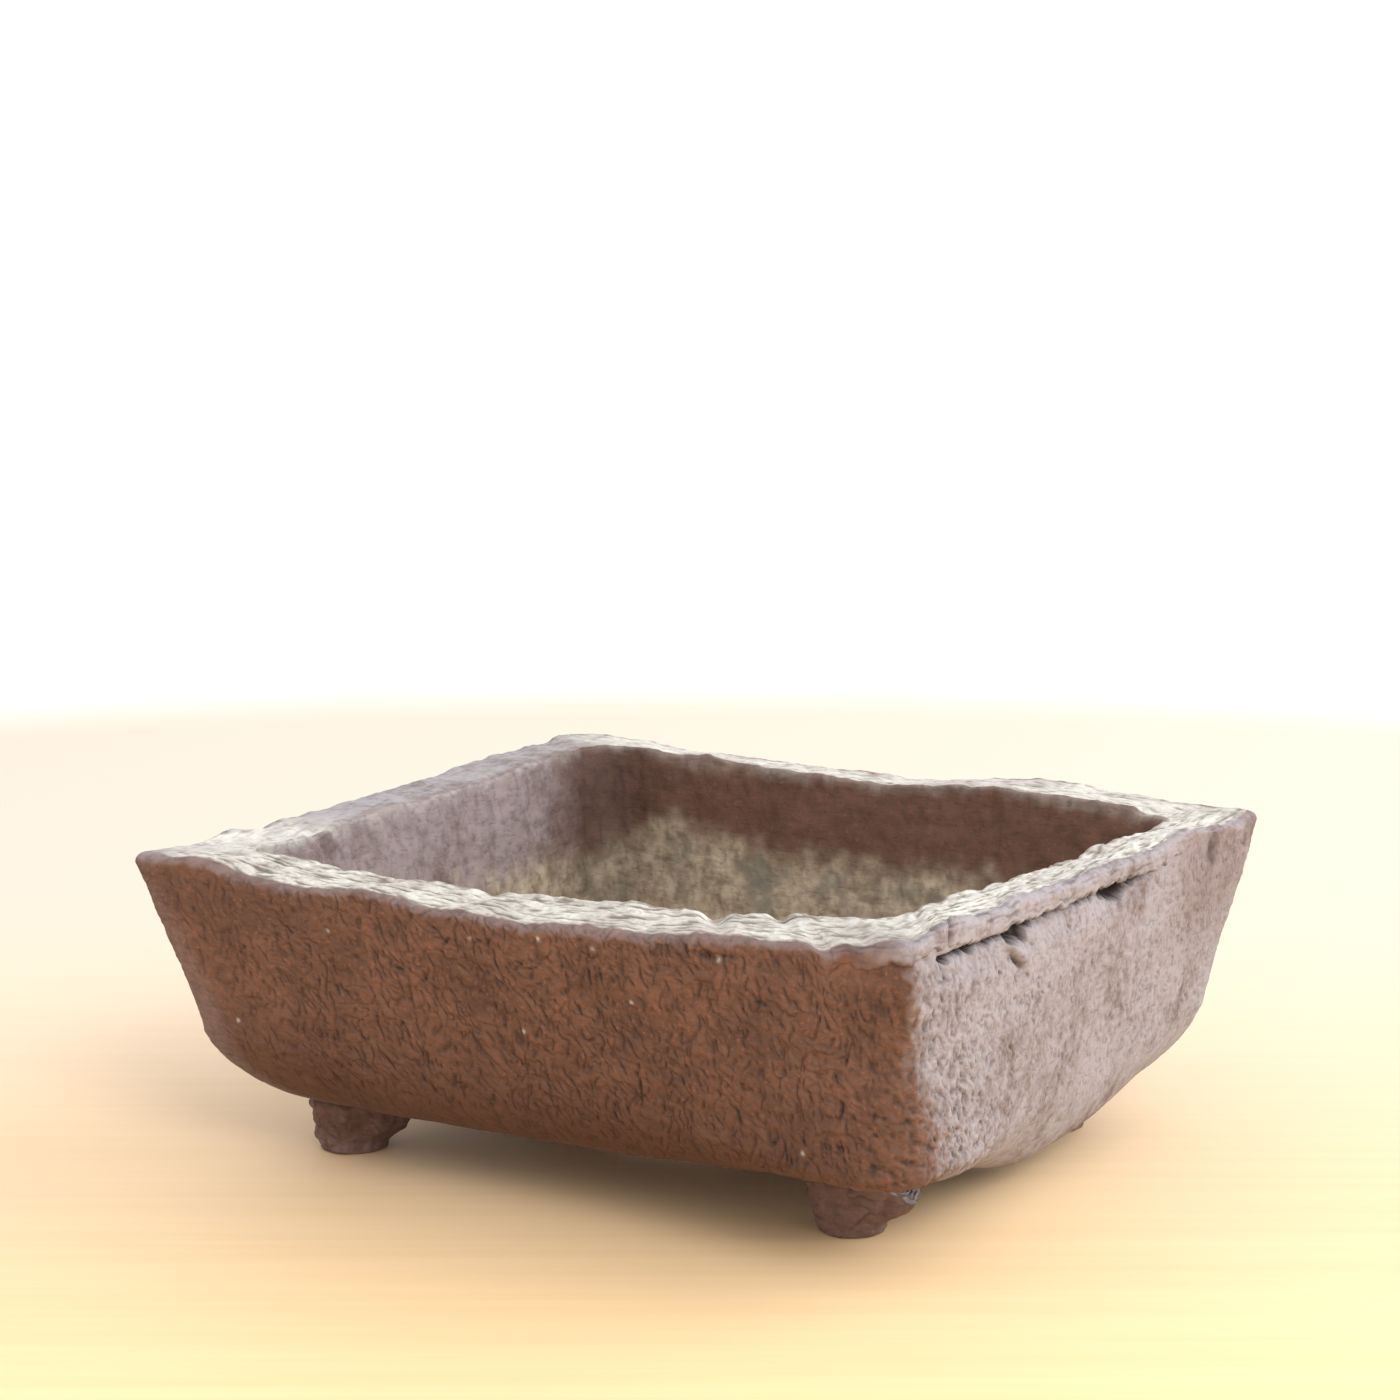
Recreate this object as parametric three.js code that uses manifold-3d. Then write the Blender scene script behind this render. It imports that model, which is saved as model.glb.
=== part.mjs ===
// A small handmade bonsai pot of dark unglazed stoneware, in millimetres, +Z up.
// Slabs of clay make the floor and the four walls, which lean out and turn under at the
// bottom. A strip and a corner cap finish the rim, and four lumps of clay are the feet.
// The origin is on the ground under the middle of the pot; -Y is the front.

import * as THREE from "three";
import { mergeVertices } from "three/addons/utils/BufferGeometryUtils.js";
import Module from "manifold-3d";

const wasm = await Module();
wasm.setup();

// Outside
const RIM_LENGTH = 100; // along X
const RIM_DEPTH = 90; // along Y
const RIM_HEIGHT = 38;
const UNDERSIDE_HEIGHT = 6.6;
const LIP = 1; // radius of the soft outer edge of the rim

// Inside
const FLOOR_TOP = 13;
const FLOOR_INSET = 20; // the seam between walls and floor, in from the rim
const RIM_WIDTH = 8.5;
const INNER_BELLY_HEIGHT = 20;
const INNER_BELLY_INSET = 11.8;
const INNER_CORNER_RADIUS = 4;
const DRAIN_DIAMETER = 11;

// The walls, each running anticlockwise from its first corner. The sags are how far the two
// edges of the rim sink at mid-wall. The outside turns under from the belly, at its height
// and its inset from the rim, and pull is the height that draws the turn down.
const WALLS = [
  { name: "front_wall", rimWidth: 8.5, outerSag: 2.4, innerSag: 1.5, belly: 15.5, inset: 4.7, pull: 6.7 },
  { name: "right_wall", rimWidth: 7.5, outerSag: 0.1, innerSag: 0.3, belly: 11.5, inset: 4.4, pull: -0.8 },
  { name: "back_wall", rimWidth: 8.5, outerSag: 1, innerSag: 0.9, belly: 13.5, inset: 4.7, pull: 3.4 },
  { name: "left_wall", rimWidth: 9.5, outerSag: 0.6, innerSag: 0.5, belly: 14.5, inset: 4.7, pull: 5.2 },
];

// The first corner of each wall: its height over the rim's, its radius there and below,
// and where it turns under.
const CORNERS = [
  { rise: -1.3, radius: 0.6, lowRadius: 5, belly: 14.8, inset: 4.7, pull: 5.4 },
  { rise: 0, radius: 1.2, lowRadius: 2, belly: 15, inset: 3.9, pull: 7.7 },
  { rise: 0, radius: 1.4, lowRadius: 5, belly: 12.5, inset: 4.7, pull: 1.6 },
  { rise: 1.2, radius: 5, lowRadius: 7, belly: 14, inset: 4.7, pull: 4.4 },
];

// Clay added to the rim. The strip runs back from start to end along the right wall.
const STRIP = { depth: 3, height: 2.7, start: -38.2, end: 26 };
const CAP = { along: 8.8, across: 6.5, height: 3.2 };

// Feet: centre, radius on the ground and at the pot, and a lobe that points to an angle.
const FOOT_ROOT = 10.4; // height inside the pot's clay where the plain lumps end
const FEET = [
  { name: "foot_front_left", x: -34.3, y: -25.4, base: 4.1, root: 5.8, lobe: 2.4, angle: 0.5 },
  { name: "foot_front_right", x: 31, y: -22.6, base: 3.9, root: 7, lobe: 1.8, angle: 0.5 },
  { name: "foot_back_right", x: 31.5, y: 25.5, base: 4.3, root: 5.6, lobe: 1.4, angle: 2.4 },
  { name: "foot_back_left", x: -33, y: 26, base: 4.2, root: 5.8, lobe: 1.6, angle: 4.1 },
];

const GAP = 0.3; // left between pieces that were pressed together
const CLEAR = 6; // how far a cutting block stands past the clay

// Fineness of the meshes
const CORNER_STEPS = 4; // in half of a corner
const WALL_STEPS = 12; // between two corners
const FOOT_SIDES = 18;

const CLAY = { color: 0x5b4038, roughness: 0.9, metalness: 0 };
const PALE_CLAY = { color: 0x8d7d78, roughness: 0.92, metalness: 0 };
const STAINED_CLAY = { color: 0x7a6a55, roughness: 0.95, metalness: 0 };

const halfLength = RIM_LENGTH / 2;
const halfDepth = RIM_DEPTH / 2;
const { lerp, smoothstep } = THREE.MathUtils;

// The curve by which the inside rises from the floor, as inset from the rim and height.
const innerTurn = new THREE.CubicBezierCurve(
  new THREE.Vector2(INNER_BELLY_INSET, INNER_BELLY_HEIGHT),
  new THREE.Vector2(12.8, 15.6),
  new THREE.Vector2(15.5, FLOOR_TOP),
  new THREE.Vector2(FLOOR_INSET, FLOOR_TOP),
);

function solidOf(geometry) {
  const bare = geometry.clone();
  bare.deleteAttribute("normal");
  bare.deleteAttribute("uv");
  const merged = mergeVertices(bare, 1e-4);
  const vertProperties = new Float32Array(merged.attributes.position.array);
  const triVerts = new Uint32Array(merged.index.array);
  return new wasm.Manifold(new wasm.Mesh({ numProp: 3, vertProperties, triVerts }));
}

function meshOf(name, solid, clay) {
  const { vertProperties, triVerts } = solid.getMesh();
  const geometry = new THREE.BufferGeometry();
  geometry.setAttribute("position", new THREE.BufferAttribute(vertProperties, 3));
  geometry.setIndex(new THREE.BufferAttribute(triVerts, 1));
  geometry.computeVertexNormals();
  const mesh = new THREE.Mesh(geometry, new THREE.MeshStandardMaterial(clay));
  mesh.name = name;
  return mesh;
}

// A closed mesh from rings of points, each ring joined to the next. A loop's last ring joins
// its first; otherwise the two end rings are filled in.
function geometryOfRings(rings, isLoop) {
  const size = rings[0].length;
  const faces = [];
  const joins = isLoop ? rings.length : rings.length - 1;
  for (let i = 0; i < joins; i++) {
    const here = i * size;
    const there = ((i + 1) % rings.length) * size;
    for (let j = 0; j < size; j++) {
      const next = (j + 1) % size;
      faces.push(here + j, there + j, there + next);
      faces.push(here + j, there + next, here + next);
    }
  }
  if (!isLoop) {
    const last = (rings.length - 1) * size;
    for (let j = 1; j < size - 1; j++) {
      faces.push(0, j, j + 1);
      faces.push(last, last + j + 1, last + j);
    }
  }
  const geometry = new THREE.BufferGeometry().setFromPoints(rings.flat());
  geometry.setIndex(faces);
  return geometry;
}

function block(low, high) {
  const size = high.clone().sub(low);
  const middle = high.clone().add(low).multiplyScalar(0.5);
  const geometry = new THREE.BoxGeometry(size.x, size.y, size.z);
  return solidOf(geometry.translate(middle.x, middle.y, middle.z));
}

// The corners of the plan rectangle in order, each wall's side moved in by its own inset.
function planCorners([front, right, back, left]) {
  return [
    new THREE.Vector2(-halfLength + left, -halfDepth + front),
    new THREE.Vector2(halfLength - right, -halfDepth + front),
    new THREE.Vector2(halfLength - right, halfDepth - back),
    new THREE.Vector2(-halfLength + left, halfDepth - back),
  ];
}

// Every station round the pot, anticlockwise from the middle of the front left corner: the
// share run of a wall's straight stretch, and the angle turned within a corner.
function stations() {
  const list = [];
  for (let wall = 0; wall < 4; wall++) {
    for (let i = 0; i < CORNER_STEPS; i++) {
      list.push({ wall, run: 0, angle: (-Math.PI / 4) * (1 - i / CORNER_STEPS) });
    }
    for (let i = 0; i <= WALL_STEPS; i++) {
      list.push({ wall, run: i / WALL_STEPS, angle: 0 });
    }
    for (let i = 1; i < CORNER_STEPS; i++) {
      list.push({ wall, run: 1, angle: (Math.PI / 4) * (i / CORNER_STEPS) });
    }
  }
  return list;
}

// The point of the rounded plan rectangle at a station.
function planPoint(insets, radius, { wall, run, angle }) {
  const corners = planCorners(insets);
  const first = corners[wall];
  const second = corners[(wall + 1) % 4];
  const along = second.clone().sub(first).normalize();
  const outward = new THREE.Vector2(along.y, -along.x);
  const start = first.clone().addScaledVector(along, radius);
  const end = second.clone().addScaledVector(along, -radius);
  return start
    .lerp(end, run)
    .addScaledVector(outward, radius * (Math.cos(angle) - 1))
    .addScaledVector(along, radius * Math.sin(angle));
}

// A wall's own value at mid-wall, going over to its corners' values at both ends.
function settled(key, { wall, run }) {
  const atStart = 1 - smoothstep(run, 0, 0.5);
  const atEnd = smoothstep(run, 0.6, 1);
  const toStart = (CORNERS[wall][key] - WALLS[wall][key]) * atStart;
  const toEnd = (CORNERS[(wall + 1) % 4][key] - WALLS[wall][key]) * atEnd;
  return WALLS[wall][key] + toStart + toEnd;
}

// A corner's value at a station, going over to the other corner along the wall.
function between(key, { wall, run }) {
  return lerp(CORNERS[wall][key], CORNERS[(wall + 1) % 4][key], run);
}

// The section of the walls at a station: a closed loop of plan insets, corner radii and
// heights, down the inside, along the seam with the floor, up the outside and over the rim.
function section(station) {
  const { outerSag, innerSag } = WALLS[station.wall];
  const sink = Math.sin(Math.PI * station.run);
  const crest = RIM_HEIGHT + between("rise", station);
  const inner = crest - innerSag * sink;
  const outer = crest - outerSag * sink;
  const belly = settled("belly", station);
  const inset = settled("inset", station);
  const pull = settled("pull", station);
  const turnUnder = new THREE.CubicBezierCurve(
    new THREE.Vector2(FLOOR_INSET, UNDERSIDE_HEIGHT),
    new THREE.Vector2(12.3, pull),
    new THREE.Vector2(inset + 1.8, lerp(pull, belly, 0.33)),
    new THREE.Vector2(inset, belly),
  );
  const loop = [];
  const addInner = (inward, height) => {
    const share = (height - FLOOR_TOP) / (RIM_HEIGHT - FLOOR_TOP);
    const insets = WALLS.map(({ rimWidth }) => inward + (rimWidth - RIM_WIDTH) * share);
    loop.push({ insets, height, radius: INNER_CORNER_RADIUS });
  };
  const addOuter = (inward, height) => {
    const share = smoothstep(RIM_HEIGHT - height, 0, RIM_HEIGHT - belly);
    const radius = lerp(between("radius", station), between("lowRadius", station), share);
    loop.push({ insets: Array(4).fill(inward), height, radius });
  };
  addInner(RIM_WIDTH, inner - 0.6);
  for (const share of [0.33, 0.66]) {
    addInner(lerp(RIM_WIDTH, INNER_BELLY_INSET, share), lerp(inner, INNER_BELLY_HEIGHT, share));
  }
  for (const point of innerTurn.getPoints(5)) addInner(point.x, point.y);
  for (const point of turnUnder.getPoints(8)) addOuter(point.x, point.y);
  for (const share of [0.75, 0.5, 0.25]) {
    addOuter(inset * share, lerp(outer - LIP, belly, share));
  }
  addOuter(0, outer - LIP);
  addOuter(0.3 * LIP, outer - 0.3 * LIP);
  addOuter(LIP, outer);
  addOuter(RIM_WIDTH / 2, (outer + inner) / 2);
  addInner(RIM_WIDTH - 0.7, inner);
  return loop;
}

// All four walls as one ring of clay, before the seams divide it.
function wallRing() {
  const rings = stations().map((station) =>
    section(station).map(({ insets, height, radius }) => {
      const plan = planPoint(insets, radius, station);
      return new THREE.Vector3(plan.x, plan.y, height);
    }),
  );
  return solidOf(geometryOfRings(rings, true));
}

// The floor slab, in from the rim by an inset.
function floorSlab(inset) {
  const outline = (radiusAt, height) =>
    stations().map((station) => {
      const plan = planPoint(Array(4).fill(inset), radiusAt(station), station);
      return new THREE.Vector3(plan.x, plan.y, height);
    });
  const top = outline(() => INNER_CORNER_RADIUS, FLOOR_TOP);
  const underside = outline((station) => between("lowRadius", station), UNDERSIDE_HEIGHT);
  return solidOf(geometryOfRings([top, underside], false));
}

function drainHole() {
  const radius = DRAIN_DIAMETER / 2;
  const drain = new THREE.CylinderGeometry(radius, radius, 3 * FLOOR_TOP, 32);
  return solidOf(drain.rotateX(Math.PI / 2));
}

// The space of one wall, between the mitred seams at its two corners.
function wallSpace(wall) {
  const reach = FLOOR_INSET + CLEAR;
  const outside = planCorners(Array(4).fill(-CLEAR));
  const inside = planCorners(Array(4).fill(reach));
  const next = (wall + 1) % 4;
  const along = outside[next].clone().sub(outside[wall]).normalize();
  const back = (GAP / 2) * Math.SQRT2;
  const shape = new THREE.Shape([
    outside[wall].addScaledVector(along, back),
    outside[next].addScaledVector(along, -back),
    inside[next].addScaledVector(along, -back),
    inside[wall].addScaledVector(along, back),
  ]);
  const depth = RIM_HEIGHT + CLEAR;
  return solidOf(new THREE.ExtrudeGeometry(shape, { depth, bevelEnabled: false }));
}

// The space of the clay strip along the outer edge of the right rim.
function stripSpace(gap) {
  const { depth, height, start, end } = STRIP;
  const low = new THREE.Vector3(halfLength - depth, start, RIM_HEIGHT - height);
  const high = new THREE.Vector3(halfLength + CLEAR, end, RIM_HEIGHT + CLEAR);
  return block(low.subScalar(gap), high.addScalar(gap));
}

// The space of the cap smoothed over the front right corner of the rim.
function capSpace(gap) {
  const { along, across, height } = CAP;
  const low = new THREE.Vector3(halfLength - along, -halfDepth - CLEAR, RIM_HEIGHT - height);
  const high = new THREE.Vector3(halfLength + CLEAR, -halfDepth + across, RIM_HEIGHT + CLEAR);
  return block(low.subScalar(gap), high.addScalar(gap));
}

// A pressed lump of clay, flat on the ground, that reaches up into the pot's own clay.
function lump({ x, y, base, root, lobe, angle }) {
  const ring = (height, edge) => {
    const spread = lerp(base, root, (height / FOOT_ROOT) ** 1.2) - edge;
    const bulge = lobe * smoothstep(height, 1, 3.6);
    const points = [];
    for (let i = 0; i < FOOT_SIDES; i++) {
      const turn = (2 * Math.PI * i) / FOOT_SIDES;
      const radius = spread + bulge * Math.max(0, Math.cos(turn - angle)) ** 3;
      points.push(new THREE.Vector3(x + radius * Math.cos(turn), y + radius * Math.sin(turn), height));
    }
    return points;
  };
  const rings = [FOOT_ROOT, 6.5, 4.4, 2.6, 0.6].map((height) => ring(height, 0));
  rings.push(ring(0, 0.6));
  return solidOf(geometryOfRings(rings, false));
}

function buildPot() {
  const pot = new THREE.Group();
  const ring = wallRing();
  const strip = ring.intersect(stripSpace(0));
  const cap = ring.intersect(capSpace(0));
  const rimCuts = stripSpace(GAP).add(capSpace(GAP));
  WALLS.forEach(({ name }, wall) => {
    const slab = ring.intersect(wallSpace(wall)).subtract(rimCuts);
    pot.add(meshOf(name, slab, CLAY));
  });
  pot.add(meshOf("right_rim_strip", strip.subtract(capSpace(GAP)), PALE_CLAY));
  pot.add(meshOf("corner_cap", cap, PALE_CLAY));
  const floor = floorSlab(FLOOR_INSET + GAP).subtract(drainHole());
  pot.add(meshOf("floor_slab", floor, STAINED_CLAY));
  const potClay = ring.add(floorSlab(FLOOR_INSET - GAP)).translate(0, 0, -GAP);
  for (const foot of FEET) pot.add(meshOf(foot.name, lump(foot).subtract(potClay), CLAY));
  return pot;
}

export default buildPot();
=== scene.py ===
"""A small handmade bonsai pot of dark unglazed stoneware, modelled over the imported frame.

The clay is worked out in millimetres, in the frame's axes, and each piece is made in metres.
The four walls are cut from one skin, a grid of stations round the pot and rows round the
section of the wall, so that they meet without a step. -Y is the front of the pot.
"""

import math

import bpy
import numpy as np
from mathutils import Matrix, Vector


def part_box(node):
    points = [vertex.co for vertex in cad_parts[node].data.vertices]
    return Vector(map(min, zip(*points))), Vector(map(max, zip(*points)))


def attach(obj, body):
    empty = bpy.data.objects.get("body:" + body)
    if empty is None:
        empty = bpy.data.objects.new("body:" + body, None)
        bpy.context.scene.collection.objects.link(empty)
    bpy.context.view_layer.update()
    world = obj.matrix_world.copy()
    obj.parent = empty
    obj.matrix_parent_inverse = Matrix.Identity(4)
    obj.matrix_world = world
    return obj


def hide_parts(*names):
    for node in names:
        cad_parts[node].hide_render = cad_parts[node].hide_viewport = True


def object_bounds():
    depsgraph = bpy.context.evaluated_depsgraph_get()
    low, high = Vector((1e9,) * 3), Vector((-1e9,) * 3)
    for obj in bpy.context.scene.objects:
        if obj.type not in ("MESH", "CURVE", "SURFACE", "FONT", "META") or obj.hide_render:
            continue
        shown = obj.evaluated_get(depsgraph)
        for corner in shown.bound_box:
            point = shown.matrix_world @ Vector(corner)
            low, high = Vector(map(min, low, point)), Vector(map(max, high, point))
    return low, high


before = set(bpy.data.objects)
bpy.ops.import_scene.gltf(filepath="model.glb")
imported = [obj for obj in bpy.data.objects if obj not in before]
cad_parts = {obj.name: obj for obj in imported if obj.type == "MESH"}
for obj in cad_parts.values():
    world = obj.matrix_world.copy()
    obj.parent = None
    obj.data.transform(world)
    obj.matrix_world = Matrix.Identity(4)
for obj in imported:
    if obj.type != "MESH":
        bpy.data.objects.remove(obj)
cad_low, cad_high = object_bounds()

MM = 0.001
FINENESS = 1.0

# Sizes read from the frame, in millimetres.
HALF_LENGTH = (cad_high.x - cad_low.x) / 2 / MM
HALF_DEPTH = (cad_high.y - cad_low.y) / 2 / MM
CEILING = cad_high.z / MM
FLOOR_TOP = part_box("floor_slab")[1].z / MM
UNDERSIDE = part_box("floor_slab")[0].z / MM
STRIP_LOW, STRIP_HIGH = [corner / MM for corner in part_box("right_rim_strip")]
CAP_LOW, CAP_HIGH = [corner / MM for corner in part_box("corner_cap")]

FRONT, RIGHT, BACK, LEFT = range(4)

# The form of the pot. It follows the part's own source, but the bellies of the walls and
# corners are fitted more closely to the outline of the real pot.
RIM_HEIGHT = 38
RIM_WIDTH = 8.5
LIP = 1
EDGE_REACH, EDGE_DROP = 0.7, 0.6  # the soft inner edge of the rim
FLOOR_INSET = 20
INNER_BELLY_HEIGHT = 20
INNER_BELLY_INSET = 11.8
INNER_CORNER_RADIUS = 4
DRAIN_RADIUS = 5.5
DRAIN_EDGE = 0.5  # radius of the hole's soft upper edge

# Handles of the curves of a section: where the wall turns under, from the belly and from the
# rim, and where the floor turns up inside.
TURN_START, TURN_REACH, TURN_SHARE = 1.8, 12.3, 0.33
COVE_HANDLES, COVE_HEIGHT = (15.5, 12.8), 15.6

# Each wall: the rim's width and the sag of its two edges, and the belly's height and inset
# with the height that the turn is pulled to.
WALLS = [
    dict(node="front_wall", rim=8.5, outer_sag=2.4, inner_sag=1.5, belly=15.2, inset=4.5, pull=6.1),
    dict(node="right_wall", rim=7.5, outer_sag=0.1, inner_sag=0.3, belly=12, inset=4.4, pull=-0.8),
    dict(node="back_wall", rim=8.5, outer_sag=1.0, inner_sag=0.6, belly=13.5, inset=4.7, pull=3.4),
    dict(node="left_wall", rim=9.5, outer_sag=0.6, inner_sag=0.5, belly=14.5, inset=4.7, pull=5.2),
]

# Each corner, from the front left: how far the rim rises, its radius at the rim and low down,
# the belly as above, and how full its turn is, how pinched at mid height and how swollen low.
CORNERS = [
    dict(rise=-1.3, radius=0.8, low_radius=5, belly=15.5, inset=4.05, pull=5.3, full=-1.8,
         pinch=0, swollen=0),
    dict(rise=0.0, radius=1.2, low_radius=4.4, belly=12.6, inset=2.3, pull=9.2, full=0.4,
         pinch=0.9, swollen=0.9),
    dict(rise=-0.7, radius=1.4, low_radius=3.8, belly=14.3, inset=4.1, pull=1.4, full=-2,
         pinch=0, swollen=0),
    dict(rise=1.1, radius=5, low_radius=7, belly=14, inset=4.7, pull=4.4, full=0,
         pinch=0, swollen=0),
]
PINCH_HEIGHT, PINCH_SPREAD = 26, 5

# Each foot: its middle, its radius at the base and the root, the lobe it was pressed out to
# and that lobe's angle, and whether a break in its shoulder is pale.
FEET = [
    dict(node="foot_front_left", x=-34.3, y=-25.4, base=4.1, root=5.9, lobe=2.4, angle=0.5,
         pale=0),
    dict(node="foot_front_right", x=31, y=-22.6, base=3.7, root=6.6, lobe=3.0, angle=0.35,
         pale=1),
    dict(node="foot_back_right", x=31.5, y=25.5, base=4.3, root=5.6, lobe=1.4, angle=2.4,
         pale=0),
    dict(node="foot_back_left", x=-33, y=26, base=4.2, root=5.8, lobe=1.6, angle=4.1,
         pale=0),
]
FOOT_ROOT = 10.4  # height inside the pot's clay where the plain lumps end

# Places where the wall was pressed out or in: place, half width and height.
PRESSED_OUT = [
    ((45, -28, 9), 7, 0.8),
    ((44, -10, 7), 6, -0.4),
]

# Swellings and notches of the rim's two edges: place along X or Y, half width, height.
OUTER_EDGE = [
    [(-42, 4, 0.9), (-18, 6, 1.0), (-5, 3, 0.3), (3, 3, -0.4), (20, 5, -0.3), (36, 4, -0.3),
     (41.3, 1.5, -1.1), (46, 2.2, -0.7)],
    [(-38, 6, 0.9), (-18, 9, 0.5), (2, 9, 0.4), (25, 6, 1.1), (40, 3, -0.6)],
    [(24, 14, 1.7), (-2, 6, 0.4), (-34, 3, -0.3)],
    [(-31, 1.5, 0.6), (-25.5, 2.5, -0.6), (25, 8, 0.3), (42, 3, -0.4)],
]
INNER_EDGE = [
    [(-7, 1.5, -0.4), (23.5, 1.5, -1.2), (32, 1.3, -0.8), (12, 4, 0.25), (44, 3, 0.4)],
    [(-24, 5, 0.3), (5, 3, -0.3), (14, 2, 0.3), (30, 4, -0.3)],
    [(24, 14, 1.2), (2, 3, -0.3), (-25, 5, 0.3)],
    [(-27, 3, -0.4), (-8, 4, 0.3), (12, 4, -0.3), (25, 6, 0.2)],
]

# The rows of a section, down the outside from the lip, under, and up the inside to the rim.
STRETCHES = dict(lip=8, batter=130, turn=84, seam=2, rise=16, inside=28, edge=5, rim=46)
WALL_COLUMNS = [560, 450, 230, 230]
CORNER_COLUMNS = 12  # in half of a corner

# Unevenness: the height, cell and seed of each layer of noise.
OUTER_EDGE_NOISE = [(0.22, 5, 100), (0.10, 1.7, 101)]
INNER_EDGE_NOISE = [(0.30, 6, 102), (0.14, 2.0, 103)]
INNER_RIPPLES = [(0.6, (7, 7, 9), 104), (0.2, (2.4, 2.4, 3), 105)]
SWELL = [(0.21, 15, 5), (0.13, 6.5, 6), (0.03, 0.5, 7)]


def smoothstep(x, low, high):
    """0 up to low, 1 from high on, and smooth between."""
    t = np.clip((x - low) / (high - low), 0, 1)
    return t * t * (3 - 2 * t)


def fall(x, low, high):
    return 1 - smoothstep(x, low, high)


def split(points):
    """The coordinates of points, each by itself."""
    return np.moveaxis(points, -1, 0)


def lerp(a, b, share):
    return a + (b - a) * share


def bumps(x, features):
    """Smooth bumps added up, each with its place, half width and height."""
    total = np.zeros_like(x)
    for place, width, height in features:
        total += height * np.exp(-(((x - place) / width) ** 2))
    return total


def spot(*axes):
    """1 in the middle of a smooth spot: the value, middle and half width along each axis."""
    return np.exp(-sum(((value - middle) / width) ** 2 for value, middle, width in axes))


def within(x, low, high, soft):
    """1 between low and high, going smoothly to 0 outside."""
    return smoothstep(x, low - soft, low + soft) * fall(x, high - soft, high + soft)


def noise(points, cell, seed):
    """Gradient noise from about -1 to 1 at points, with cells of that size."""
    rng = np.random.default_rng(seed)
    order = rng.permutation(256)
    slopes = rng.normal(size=(256, 3))
    slopes /= np.linalg.norm(slopes, axis=1)[:, None]
    flat = (points / np.asarray(cell, float)).reshape(-1, 3)
    base = np.floor(flat).astype(int)
    part = flat - base
    fade = part**3 * (part * (part * 6 - 15) + 10)
    total = np.zeros(len(flat))
    for corner in np.ndindex(2, 2, 2):
        at = (base + corner) & 255
        pick = order[(order[(order[at[:, 0]] + at[:, 1]) & 255] + at[:, 2]) & 255]
        reach = ((part - corner) * slopes[pick]).sum(1)
        weight = np.where(corner, fade, 1 - fade).prod(1)
        total += reach * weight
    return 1.7 * total.reshape(points.shape[:-1])


def layered(points, layers):
    """Layers of noise added up, each with its height, cell and seed."""
    return sum(height * noise(points, cell, seed) for height, cell, seed in layers)


def curve(a, b, c, d, share):
    """A cubic Bezier curve's value."""
    left = 1 - share
    return left**3 * a + 3 * left**2 * share * b + 3 * left * share**2 * c + share**3 * d


class Stations:
    """Places round the pot, anticlockwise from the front left corner: wall, run and angle."""

    def __init__(self, wall, run, angle):
        self.wall = np.asarray(wall)
        self.run = np.asarray(run, float)
        self.angle = np.asarray(angle, float)
        self.next = (self.wall + 1) % 4

    def at_ends(self, key):
        """A corner's value, at each station's own corner and at the next one."""
        values = np.array([corner[key] for corner in CORNERS], float)
        return values[self.wall], values[self.next]

    def of_wall(self, key):
        return np.array([wall[key] for wall in WALLS], float)[self.wall]

    def between(self, key):
        """A value of the corners, going evenly from one to the next."""
        return lerp(*self.at_ends(key), self.run)

    def settled(self, key):
        """A value of the walls, which goes over to that of the corners at their ends."""
        first, last = self.at_ends(key)
        own = self.of_wall(key)
        at_start = (first - own) * fall(self.run, 0, 0.5)
        at_end = (last - own) * smoothstep(self.run, 0.6, 1)
        return own + at_start + at_end

    def close(self, key, reach):
        """A value of the corners alone, which fades out within that share of a wall."""
        first, last = self.at_ends(key)
        at_start = first * fall(self.run, 0, reach)
        return at_start + last * smoothstep(self.run, 1 - reach, 1)

    def plan(self, insets, radius):
        """The rounded rectangle, each side moved in by its own inset, in rows of stations."""
        low_y, high_x = insets[FRONT] - HALF_DEPTH, HALF_LENGTH - insets[RIGHT]
        high_y, low_x = HALF_DEPTH - insets[BACK], insets[LEFT] - HALF_LENGTH
        across = [low_x, high_x, high_x, low_x]
        deep = [low_y, low_y, high_y, high_y]
        along = np.array([(1, 0), (0, 1), (-1, 0), (0, -1)], float)[self.wall]
        outward = np.stack([along[:, 1], -along[:, 0]], 1)
        reach = radius[..., None]
        start = np.stack([np.choose(self.wall, across), np.choose(self.wall, deep)], -1)
        end = np.stack([np.choose(self.next, across), np.choose(self.next, deep)], -1)
        straight = lerp(start + along * reach, end - along * reach, self.run[:, None])
        bulge = outward * (reach * (np.cos(self.angle) - 1)[:, None])
        return straight + bulge + along * (reach * np.sin(self.angle)[:, None])

    def on_rim(self):
        """The places of the stations on the rim's rectangle, in plan."""
        return self.plan([0, 0, 0, 0], np.zeros((1, len(self.run))))[0]


def ring_stations():
    """Every station round the pot, and the first one of each wall."""
    wall, run, angle, starts = [], [], [], []
    turn = np.arange(CORNER_COLUMNS) / CORNER_COLUMNS * math.pi / 4
    for index, columns in enumerate(WALL_COLUMNS):
        steps = int(columns * FINENESS)
        starts.append(len(wall))
        run += [0] * CORNER_COLUMNS + list(np.linspace(0, 1, steps)) + [1] * (CORNER_COLUMNS - 1)
        angle += list(turn - math.pi / 4) + [0] * steps + list(turn[1:])
        wall += [index] * (2 * CORNER_COLUMNS - 1 + steps)
    return Stations(wall, run, angle), starts + [len(wall)]


def section_rows(stretches):
    """(stretch, share) of each row of a section."""
    rows = []
    for name, count in stretches.items():
        count = max(2, round(count * FINENESS))
        rows += [(name, i / count) for i in range(count)]
    return rows


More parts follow.
